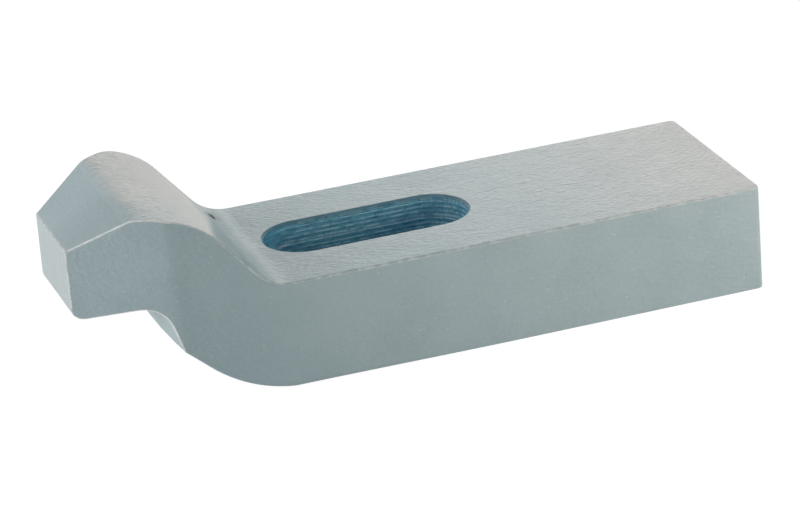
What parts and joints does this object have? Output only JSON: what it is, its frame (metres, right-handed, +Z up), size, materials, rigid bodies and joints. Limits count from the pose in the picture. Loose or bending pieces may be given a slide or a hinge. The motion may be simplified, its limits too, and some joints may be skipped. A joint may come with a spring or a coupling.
{
  "type": "gooseneck clamp",
  "caption": "Forged gooseneck clamp: a slotted flat bar whose tapered nose rises and reaches forward to press a workpiece onto a machine table.",
  "frame": {"origin": "on the flat base, midway between the tip of the nose and the heel, in the plane of symmetry", "axes": "+Z up from the base; +X along the bar towards the heel, so the nose points along -X; +Y across the bar"},
  "size_m": [0.16, 0.05, 0.0452],
  "materials": {
    "forged_steel": "satin grey-blue coat on drop forged steel, bare satin steel at the milled faces and the slot wall"
  },
  "bodies": {
    "root": {"gooseneck_clamp": "forged_steel"}
  },
  "joints": []
}
